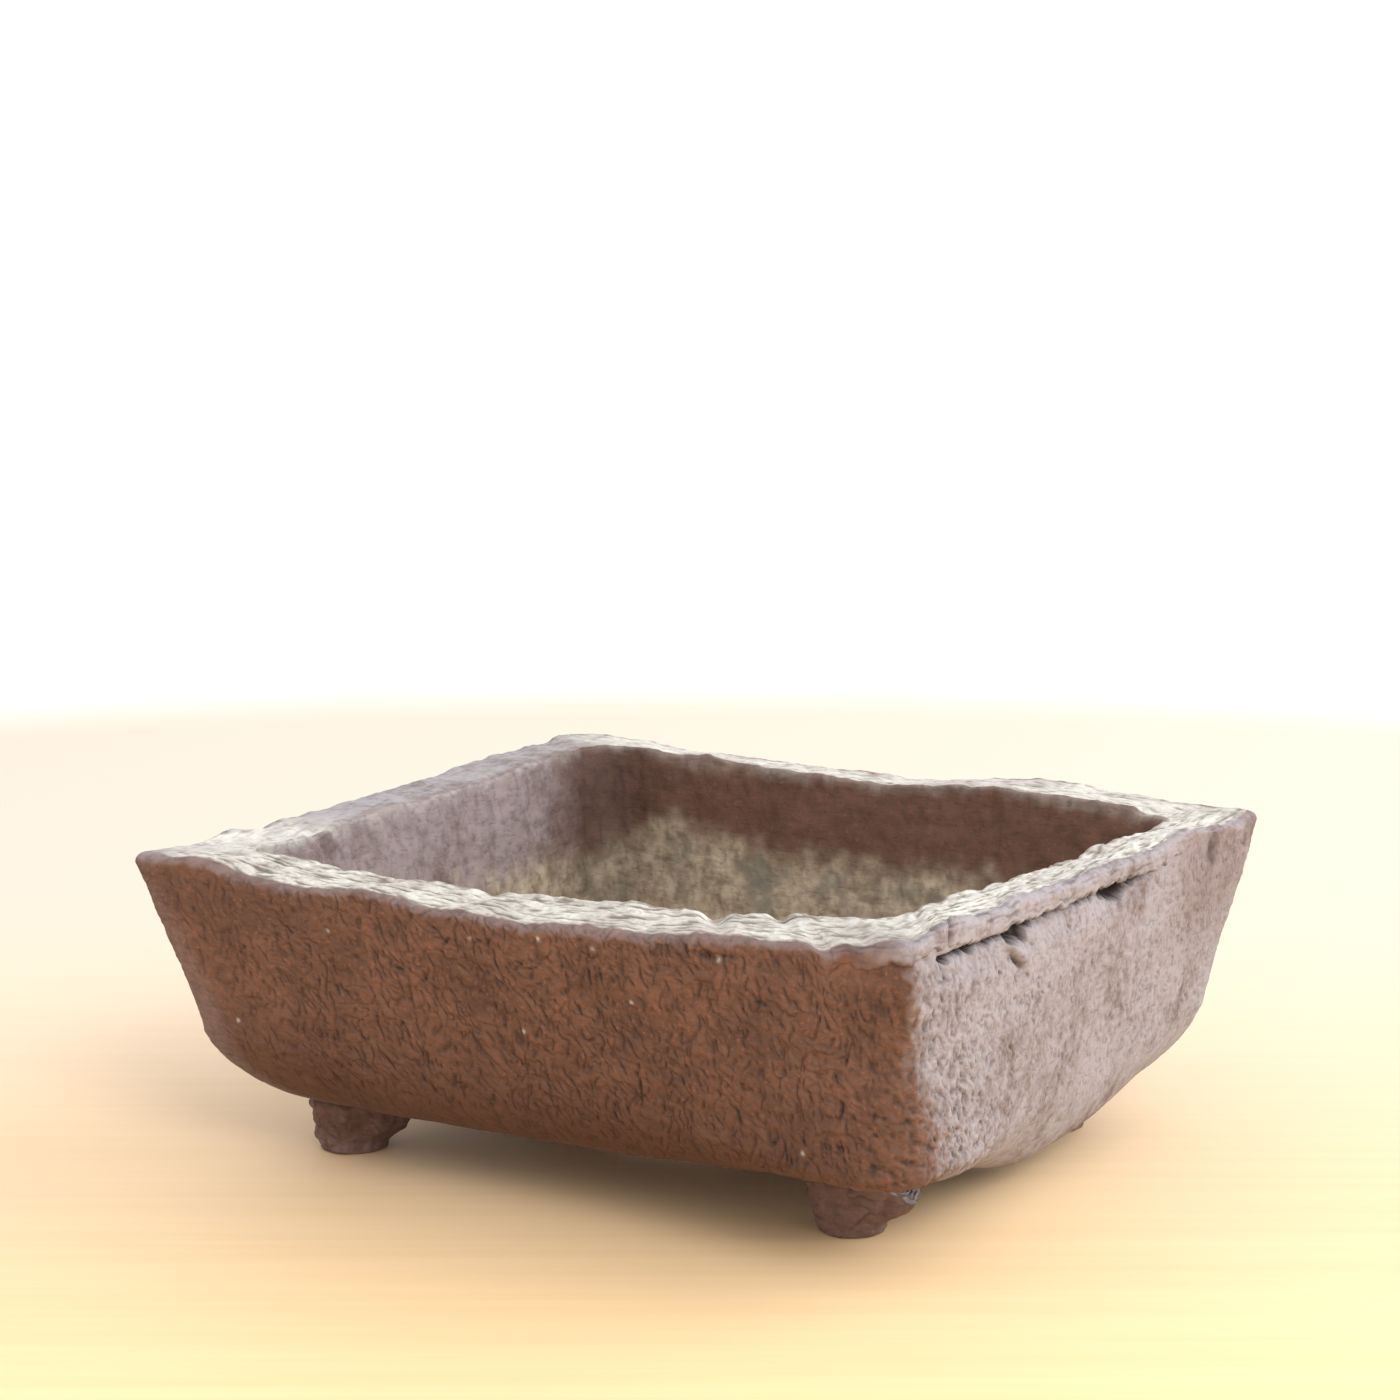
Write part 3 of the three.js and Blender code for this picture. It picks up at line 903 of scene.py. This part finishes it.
def add_piece(node, material, points, loops, values, normals=None):
    """A closed mesh that stands for a node of the frame, from a grid of points in millimetres.

    loops says whether the grid's rows and columns form loops, and values are painted on it.
    """
    quads = quads_of(*points.shape[:2], *loops)
    faces = [quads.ravel()] + caps_of(*points.shape[:2], *loops)
    sizes = np.array([4] * len(quads) + [len(cap) for cap in faces[1:]], np.int32)
    starts = np.concatenate([[0], np.cumsum(sizes)[:-1]]).astype(np.int32)
    corners = np.concatenate(faces).astype(np.int32)
    name = node + "_clay"
    mesh = bpy.data.meshes.new(name)
    mesh.vertices.add(points[..., 0].size)
    mesh.vertices.foreach_set("co", (points * MM).astype(np.float32).ravel())
    mesh.loops.add(len(corners))
    mesh.loops.foreach_set("vertex_index", corners)
    mesh.polygons.add(len(sizes))
    mesh.polygons.foreach_set("loop_start", starts)
    mesh.polygons.foreach_set("use_smooth", np.ones(len(sizes), bool))
    mesh.update(calc_edges=True)
    for key, value in values.items():
        layer = mesh.attributes.new(key, "FLOAT", "POINT")
        layer.data.foreach_set("value", value.astype(np.float32).ravel())
    if normals is not None:
        mesh.normals_split_custom_set_from_vertices(normals.reshape(-1, 3))
    mesh.materials.append(material)
    piece = add_object(name, mesh)
    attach(piece, "root")
    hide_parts(node)


def build_walls(material):
    """The four walls. Gives the two rings of points where the floor meets them."""
    stations, starts = ring_stations()
    rows = section_rows(STRETCHES)
    names = [row[0] for row in rows]
    low_seam, top_seam = names.index("seam"), names.index("rise")
    grid = Grid(stations, rows)
    height, values = relief(grid)
    height = lerp(height, -LET_IN_DEPTH, let_in(grid))
    height[low_seam + 1 : top_seam] = 0
    points = inside_box(grid.points + grid_normals(grid.points, True) * height[..., None])
    normals = grid_normals(points, True)
    normals[top_seam] = (0, 0, 1)
    normals[low_seam] = (0, 0, -1)
    for index, wall in enumerate(WALLS):
        columns = np.arange(starts[index], starts[index + 1] + 1) % len(stations.run)
        own_values = {key: value[:, columns] for key, value in values.items()}
        add_piece(wall["node"], material, points[:, columns], (True, False),
                  own_values, normals[:, columns])
    return points[top_seam], points[low_seam]


RAGGED_EDGE = [(0.55, (2.6, 2.6, 30), 80), (0.3, (0.8, 0.8, 30), 81)]


def build_patch(node, stations, rows, depth, drop, material):
    """A layer of clay laid on the rim: an outer sheet with rolled edges, and its back."""
    grid = Grid(stations, rows)
    base = grid_normals(grid.points, False, False)
    count, width = grid.points.shape[:2]
    along = path_lengths(grid.points[count // 2])
    down = path_lengths(grid.points[:, width // 2])[:, None]
    edge = smoothstep(np.minimum(along, along[-1] - along), 0, 0.9) * smoothstep(down, 0, 0.8)
    edge = edge * smoothstep(down[-1] - down, -0.1, 0.45)
    raised, shade_in_creases = wire_cut_top(grid)
    dragged = grid.points + 0.4 * noise(grid.points, 2, 82)[..., None]
    dragged = noise(dragged, (5, 5, 0.55), 83)
    on_face = 1 - grid.top
    face = on_face * (0.14 * dragged + 0.10 * noise(grid.bent, 1.3, 84))
    height = 0.5 * layered(grid.points, SWELL) + 0.05 * grid.medium - 0.12 - drop * (1 - edge)
    height += (raised + face) * edge
    shade_in_creases = shade_in_creases + on_face * 0.7 * smoothstep(-dragged, 0.15, 0.6)
    outer = grid.points + base * height[..., None]
    inner = grid.points - base * depth
    ragged = layered(grid.points, RAGGED_EDGE) * smoothstep(down, down[-1] - 1.6, down[-1])
    for sheet in (outer, inner):
        sheet[..., 2] += ragged
    points = inside_box(np.concatenate([outer, inner[::-1]]))
    # Painted shade under the rolled edges of the patch.
    values = paint_values(grid, shade_in_creases + 0.5 * (1 - edge))
    values = {key: np.concatenate([value, value[::-1]]) for key, value in values.items()}
    add_piece(node, material, points, (True, False), values)


def patch_rows(inward, low, steps):
    """Rows of a patch from an inset on the rim, over the lip, and down to a batter's share."""
    share = (RIM_WIDTH - 0.7 - inward) / (RIM_WIDTH - 0.7 - LIP)
    rim, lip, batter = [max(3, round(step * FINENESS)) for step in steps]
    rows = [("rim", value) for value in np.linspace(share, 1, rim, endpoint=False)]
    rows += [("lip", i / lip) for i in range(lip)]
    return rows + [("batter", value) for value in np.linspace(0, low, batter)]


def build_strip(material):
    """The thin strip on the right wall's rim, torn along its lower edge."""
    length = 2 * HALF_DEPTH
    run = np.linspace(STRIP_LOW.y, STRIP_HIGH.y, int(330 * FINENESS)) / length + 0.5
    stations = Stations(np.full(len(run), 1), run, np.zeros(len(run)))
    rows = patch_rows(2.4, 0.075, (10, 10, 12))
    build_patch("right_rim_strip", stations, rows, 0.75, 0.55, material)


def build_cap(material):
    """The patch folded over the near right corner."""
    turn = list(np.linspace(0, math.pi / 4, 7)[1:])
    front = list(np.linspace(CAP_LOW.x / (2 * HALF_LENGTH) + 0.5, 1, int(44 * FINENESS)))
    right = list(np.linspace(0, CAP_HIGH.y / (2 * HALF_DEPTH) + 0.5, int(34 * FINENESS)))
    wall = [0] * (len(front) + len(turn)) + [1] * (len(turn) - 1 + len(right))
    run = front + [1] * len(turn) + [0] * (len(turn) - 1) + right
    angle = [0] * len(front) + turn + [-value for value in turn[-2::-1]] + [0] * len(right)
    stations = Stations(wall, run, angle)
    rows = patch_rows(5.6, 0.06, (24, 10, 10))
    build_patch("corner_cap", stations, rows, 0.7, 0.5, material)


# How many rings the floor has on each face, round the hole's soft edge, and down the hole.
FACE_RINGS, EDGE_RINGS, HOLE_RINGS = int(42 * FINENESS), 5, 7
FLOOR_SKIP = 3 if FINENESS == 1 else 2  # it takes one in this many of the walls' stations


def floor_rings(top, low):
    """Rings of points in from the upper seam, down the drain hole, and out to the lower one."""
    spin = np.arctan2(top[:, 1], top[:, 0])
    hole = np.stack([np.cos(spin), np.sin(spin)], 1)
    shares = np.linspace(0, 1, FACE_RINGS)[:, None, None]

    def face(seam, radius, height):
        plan = lerp(seam[:, :2], hole * radius, shares)
        return np.concatenate([plan, lerp(seam[:, 2:], height, shares)], -1)

    profile = []
    for turn in np.linspace(0.2, 1, EDGE_RINGS) * math.pi / 2:
        radius = DRAIN_RADIUS + DRAIN_EDGE * (1 - math.sin(turn))
        profile.append((radius, FLOOR_TOP - DRAIN_EDGE * (1 - math.cos(turn))))
    for height in np.linspace(FLOOR_TOP - 1.2, UNDERSIDE + 0.6, HOLE_RINGS):
        profile.append((DRAIN_RADIUS, height))

    rings = list(face(top, DRAIN_RADIUS + DRAIN_EDGE, FLOOR_TOP))
    for radius, height in profile:
        rings.append(np.concatenate([hole * radius, np.full((len(hole), 1), height)], 1))
    rings += list(face(low, DRAIN_RADIUS + 0.4, UNDERSIDE)[::-1])
    return np.stack(rings[::-1])


def floor_normals(points):
    """Normals of the floor, upright where it meets the walls."""
    normals = grid_normals(points, True)
    normals[0] = (0, 0, -1)
    normals[-1] = (0, 0, 1)
    return normals


def build_floor(top_ring, low_ring, material):
    """The floor slab, from the seams under the walls in to the drain hole."""
    points = floor_rings(top_ring[::FLOOR_SKIP], low_ring[::FLOOR_SKIP])
    from_seam = smoothstep(np.linspace(0, 1, FACE_RINGS), 0, 0.12)
    hole = np.ones(EDGE_RINGS + HOLE_RINGS)
    free = np.concatenate([from_seam, hole, from_seam[::-1]])[:, None]
    lumps = noise(points, 3.2, 90)
    height = free * (0.16 * lumps + layered(points, [(0.22, 9, 92), (0.06, 1.2, 91)]))
    points = points + floor_normals(points) * height[..., None]
    # Painted shade in the hollows between the lumps.
    crease_shade = np.clip(0.6 * spot((lumps, 0, 0.12)), 0, 1) * free
    upper = np.arange(len(points)) >= len(points) - FACE_RINGS - EDGE_RINGS
    # A faint bloom that is partly painted sheen all over, and the stain on the upper face.
    values = plain_values(crease_shade, 0.1, upper[:, None])
    add_piece("floor_slab", material, points, (True, True), values,
              floor_normals(points))


BREAK_FACING = np.array(Vector((0.62, 0.12, 0.77)).normalized())
BREAK_DISTANCE = 7.6  # from the middle of the foot's base
BREAK_NOISE = [(0.35, 1.2, 95), (0.15, 0.5, 96)]


def broken_facet(points, centre):
    """Cut a rough slanting break across a foot's shoulder, and say where it is."""
    over = (points - centre) @ BREAK_FACING - BREAK_DISTANCE - layered(points, BREAK_NOISE)
    on_side = smoothstep(points[..., 0] - centre[0], 3.2, 4.2)
    moved = np.maximum(over, 0) * on_side
    points -= moved[..., None] * BREAK_FACING
    return smoothstep(moved, 0.02, 0.3)


FOOT_EDGE = 0.5  # radius of the base's soft edge


def foot_blank(foot, centre):
    """A plain foot: its points from the root down to the base, and the ways out from it."""
    sides, levels = int(150 * FINENESS), int(56 * FINENESS)
    turn = np.linspace(0, 2 * math.pi, sides, endpoint=False)
    height = np.linspace(UNDERSIDE + 2.4, 0, levels)[:, None]
    spread = lerp(foot["base"], foot["root"], (height / FOOT_ROOT) ** 1.2)
    towards = np.maximum(0, np.cos(turn - foot["angle"])) ** 3
    rounding = np.clip(1 - height / FOOT_EDGE, 0, 1)
    radius = spread + foot["lobe"] * smoothstep(height, 1, 3.6) * towards
    radius = radius - FOOT_EDGE * (1 - np.sqrt(1 - rounding**2))
    out = np.stack([np.cos(turn) + 0 * height, np.sin(turn) + 0 * height, 0 * radius], -1)
    points = centre + out * radius[..., None]
    points[..., 2] += height
    return points, out


def build_foot(foot, seed, material):
    """A pressed lump of clay that stands on the ground and reaches into the pot's clay."""
    centre = np.array([foot["x"], foot["y"], 0])
    points, outward = foot_blank(foot, centre)
    height = points[..., 2].copy()
    warp = np.stack([noise(points, 3.0, seed + k) for k in range(3)], -1)
    bent = points + 1.2 * warp
    lumps = noise(bent, 3.2, seed + 3)
    folded = noise(bent, (2.6, 2.6, 1.8), seed + 4)
    fine = layered(points, [(0.1, (0.7, 0.7, 0.45), seed + 5), (0.12, 1.3, seed + 6)])
    valley = spot((folded, 0, 0.1)) * smoothstep(lumps, -0.1, 0.4)
    joint = spot((height, UNDERSIDE - 0.1, 0.5)) * (0.7 + 0.3 * folded)
    rise = 0.55 * lumps + 0.25 * folded - 0.25 * valley + fine - 0.45 * joint
    points += outward * (rise * smoothstep(height, 0, 0.5))[..., None]
    facet = foot["pale"] * broken_facet(points, centre)
    # Painted shade in the valleys and where the foot meets the pot, and a faint bloom, partly painted
    # sheen, raised where the break is pale.
    crease_shade = np.clip(0.55 * valley + 0.8 * joint, 0, 1)
    values = plain_values(crease_shade, 0.15 + 0.75 * facet, 0)
    add_piece(foot["node"], material, points, (False, True), values)


class Nodes:
    """A material's node tree, with short ways to add to it. Lengths are in millimetres."""

    def __init__(self, name):
        self.material = bpy.data.materials.new(name)
        self.material.use_nodes = True
        self.tree = self.material.node_tree
        self.shader = self.tree.nodes["Principled BSDF"]
        place = self.add("TexCoord", "Object", {})
        self.place = self.add("Mapping", "Vector", {"Vector": place, "Scale": (1 / MM,) * 3})

    def put(self, socket, value):
        if isinstance(value, bpy.types.NodeSocket):
            self.tree.links.new(value, socket)
        elif isinstance(value, tuple) and len(value) == 3 and socket.type == "RGBA":
            socket.default_value = (*value, 1)
        else:
            socket.default_value = value

    def add(self, kind, output, inputs, **settings):
        """An output of a new node with these inputs and settings."""
        node = self.tree.nodes.new("ShaderNode" + kind)
        for key, value in settings.items():
            setattr(node, key, value)
        for key, value in inputs.items():
            self.put(node.inputs[key], value)
        return node.outputs[output]

    def finish(self, **inputs):
        """The material, once these go into its shader."""
        for key, value in inputs.items():
            self.put(self.shader.inputs[key.replace("_", " ")], value)
        return self.material

    def math(self, operation, *values):
        return self.add("Math", 0, dict(enumerate(values)), operation=operation)

    def times(self, a, b):
        return self.math("MULTIPLY", a, b)

    def noise(self, cell, detail=3, roughness=0.55, distortion=0.0, stretch=None):
        inputs = {"Vector": self.place, "Scale": 1 / cell, "Detail": detail}
        inputs.update({"Roughness": roughness, "Distortion": distortion})
        if stretch:
            turned = {"Vector": self.place, "Scale": stretch}
            inputs["Vector"] = self.add("Mapping", "Vector", turned)
        return self.add("TexNoise", "Fac", inputs)

    def value(self, name):
        return self.add("Attribute", "Fac", {}, attribute_name=name)

    def step(self, value, low, high):
        inputs = {"Value": value, "From Min": low, "From Max": high}
        return self.add("MapRange", "Result", inputs, interpolation_type="SMOOTHSTEP")

    def mix(self, share, a, b):
        return self.add("Mix", "Result", {"Factor": share, "A": a, "B": b}, data_type="RGBA")


def clay_colour(nodes, palette, mottle, drawn):
    """The clay's colour: browns, flecks, painted shade, bloom and painted sheen, stain, dust, crease
    shade.
    """
    crease_shade = nodes.value("crease_shade")
    *first_stains, last_stain = palette["stains"]
    patches = nodes.times(nodes.noise(9, 3), 0.45)
    tone = nodes.math("ADD", patches, nodes.times(mottle, 0.55))
    colour = nodes.mix(nodes.step(tone, 0.34, 0.66), palette["dark"], palette["light"])

    flecks = nodes.times(nodes.step(nodes.noise(0.5, 2), 0.61, 0.68), 0.5)
    flecks = nodes.times(flecks, nodes.math("SUBTRACT", 1.0, crease_shade))
    colour = nodes.mix(flecks, colour, palette["fleck"])
    # Painted shade, darker low on the outsides, on the insides and in the far corner.
    colour = nodes.mix(nodes.times(nodes.value("painted_shade"), 0.8), colour, palette["painted_shade"])
    # Pale lilac bloom, partly a painted sheen where faces turn to the light.
    bloom_and_sheen = nodes.times(nodes.value("bloom_and_sheen"), nodes.step(tone, 0.22, 0.58))
    colour = nodes.mix(bloom_and_sheen, colour, palette["bloom_and_sheen"])

    stain = nodes.mix(nodes.step(nodes.noise(2.4, 4, 0.6), 0.35, 0.65), *first_stains)
    stain = nodes.mix(nodes.step(nodes.noise(5.5, 3), 0.5, 0.72), stain, last_stain)
    colour = nodes.mix(nodes.value("stain"), colour, stain)

    fibres = nodes.times(nodes.step(nodes.noise(0.6, 4, 0.7), 0.42, 0.62), 0.3)
    soiled = nodes.math("MAXIMUM", fibres, nodes.times(nodes.value("soil"), 0.85))
    dust = nodes.times(nodes.value("dust"), nodes.step(mottle, 0.1, 0.5))
    colour = nodes.mix(dust, colour, nodes.mix(soiled, palette["dust"], palette["soiled"]))

    # Painted shade: darker towards the deep colour in creases and holes, and in fine drawn grooves.
    colour = nodes.mix(nodes.times(crease_shade, 0.75), colour, palette["deep"])
    return nodes.mix(nodes.times(nodes.step(drawn, 0.52, 0.68), 0.25), colour, palette["deep"])


def clay_material(name, palette):
    """Unglazed clay, mottled and finely drawn along, whose paint is on the mesh."""
    nodes = Nodes(name)
    mottle = nodes.noise(1.6, 5, 0.65)
    speckle = nodes.noise(0.35, 2, 0.6)
    drawn = nodes.noise(0.55, 3, 0.6, 0.2, (0.3, 0.3, 1))
    grain = nodes.math("ADD", nodes.times(speckle, 0.05), nodes.times(mottle, 0.09))
    grain = nodes.math("SUBTRACT", grain, nodes.times(drawn, 0.10))
    rough = nodes.add("MapRange", "Result", {"Value": mottle, "To Min": 0.62, "To Max": 0.92})
    bump = nodes.add("Bump", "Normal", {"Strength": 0.9, "Distance": MM, "Height": grain})
    colour = clay_colour(nodes, palette, mottle, drawn)
    return nodes.finish(Base_Color=colour, Roughness=rough, Normal=bump)


# The camera, fitted to the photograph: angles, its distance in millimetres from the point that
# it aims at, its lens, and where that point is in the view's own directions.
CAMERA_AZIMUTH = math.radians(31.6)
CAMERA_ELEVATION = math.radians(8.28)
CAMERA_DISTANCE = 369.7
CAMERA_LENS = 81.07
AIM_SIDE, AIM_UP, AIM_HEIGHT = -1.79, 15.05, 37.3


def add_camera():
    """The camera at the photograph's angle, a little right of the pot's middle and above it."""
    sin, cos = math.sin(CAMERA_AZIMUTH), math.cos(CAMERA_AZIMUTH)
    flat = math.cos(CAMERA_ELEVATION)
    back = Vector((sin * flat, -cos * flat, math.sin(CAMERA_ELEVATION)))
    right = Vector((cos, sin, 0))
    up = back.cross(right)
    aim = Vector((0, 0, AIM_HEIGHT)) + right * AIM_SIDE + up * AIM_UP
    data = bpy.data.cameras.new("camera")
    data.lens = CAMERA_LENS
    data.sensor_width = 36
    data.clip_start, data.clip_end = 0.01, 20
    camera = add_object("camera", data)
    camera.location = (aim + back * CAMERA_DISTANCE) * MM
    camera.rotation_euler = (-back).to_track_quat("-Z", "Y").to_euler()
    bpy.context.scene.camera = camera


def add_light(name, place, size, watts, colour):
    """A soft area light that faces the pot."""
    data = bpy.data.lights.new(name, "AREA")
    data.shape = "RECTANGLE"
    data.size, data.size_y = size
    data.energy = watts
    data.color = colour
    light = add_object(name, data)
    light.location = place
    aim = Vector((0, 0, 0.02)) - Vector(place)
    light.rotation_euler = aim.to_track_quat("-Z", "Y").to_euler()
    light.visible_camera = False


TABLE_HALF = 4  # metres
TABLE_TONES = [(0.88, 0.61, 0.32), (0.92, 0.655, 0.36)]
TABLE_PALE = (0.74, 0.605, 0.50)
TABLE_WHITE = (0.93, 0.93, 0.93)
# Where it goes paler, behind the pot and then all round it, and white, in millimetres.
PALER_BEHIND, PALER_ROUND, WHITE_ROUND = (-120, 170), (140, 280), (330, 450)


def table_material():
    """Pale wood with its grain across the view, which goes paler and white far from the pot."""
    nodes = Nodes("pale_table")
    turned = {"Vector": nodes.place, "Rotation": (0, 0, -CAMERA_AZIMUTH)}
    nodes.place = nodes.add("Mapping", "Vector", turned)
    grain = nodes.noise(3, 4, 0.6, 0.2, (0.03, 1, 1))
    colour = nodes.mix(nodes.step(grain, 0.3, 0.7), *TABLE_TONES)
    behind = nodes.add("SeparateXYZ", "Y", {"Vector": nodes.place})
    reach = nodes.add("VectorMath", "Value", {0: nodes.place}, operation="LENGTH")
    colour = nodes.mix(nodes.step(behind, *PALER_BEHIND), colour, TABLE_PALE)
    colour = nodes.mix(nodes.step(reach, *PALER_ROUND), colour, TABLE_PALE)
    colour = nodes.mix(nodes.step(reach, *WHITE_ROUND), colour, TABLE_WHITE)
    return nodes.finish(Base_Color=colour, Roughness=0.6, Specular_IOR_Level=0.2)


def add_table():
    """A wide table top, square to the camera."""
    sin, cos = math.sin(CAMERA_AZIMUTH), math.cos(CAMERA_AZIMUTH)
    right, away = Vector((cos, sin, 0)) * TABLE_HALF, Vector((-sin, cos, 0)) * TABLE_HALF
    mesh = bpy.data.meshes.new("table")
    mesh.from_pydata([-right - away, right - away, right + away, away - right], [], [(0, 1, 2, 3)])
    mesh.materials.append(table_material())
    table = add_object("table", mesh)


# The lights: name, place and size in metres, watts, and colour.
LIGHTS = [
    ("window", (0.75, 0.75, 0.45), (1.3, 1.0), 12.5, (0.88, 0.95, 1.0)),
    ("side", (0.75, -0.55, 0.55), (0.45, 0.35), 5, (1.0, 0.98, 0.95)),
]


def add_studio():
    """Even white surroundings, and two soft lights on the right."""
    world = bpy.data.worlds.new("studio")
    world.use_nodes = True
    background = world.node_tree.nodes["Background"]
    background.inputs["Color"].default_value = (1, 1, 1, 1)
    background.inputs["Strength"].default_value = 1.15
    scene = bpy.context.scene
    scene.world = world
    scene.view_settings.view_transform = "Standard"
    for light in LIGHTS:
        add_light(*light)


# The palette's darkest browns paint shade: one low down and inside, one in creases and holes; its
# lilac is a bloom that is partly painted sheen.
BROWN = dict(
    dark=(0.090, 0.036, 0.020),
    light=(0.165, 0.072, 0.042),
    painted_shade=(0.075, 0.026, 0.012),
    deep=(0.022, 0.009, 0.006),
    fleck=(0.30, 0.09, 0.045),
    bloom_and_sheen=(0.335, 0.31, 0.33),
    dust=(0.63, 0.605, 0.555),
    soiled=(0.34, 0.295, 0.235),
    stains=[(0.23, 0.172, 0.115), (0.41, 0.33, 0.235), (0.185, 0.16, 0.12)],
)

top_seam, low_seam = build_walls(clay_material("worked_clay", BROWN))
build_strip(clay_material("strip_clay", BROWN))
build_cap(clay_material("cap_clay", BROWN))
build_floor(top_seam, low_seam, clay_material("floor_clay", BROWN))
foot_clay = clay_material("foot_clay", BROWN)
for number, foot in enumerate(FEET):
    build_foot(foot, 200 + 10 * number, foot_clay)
add_table()
add_studio()
add_camera()
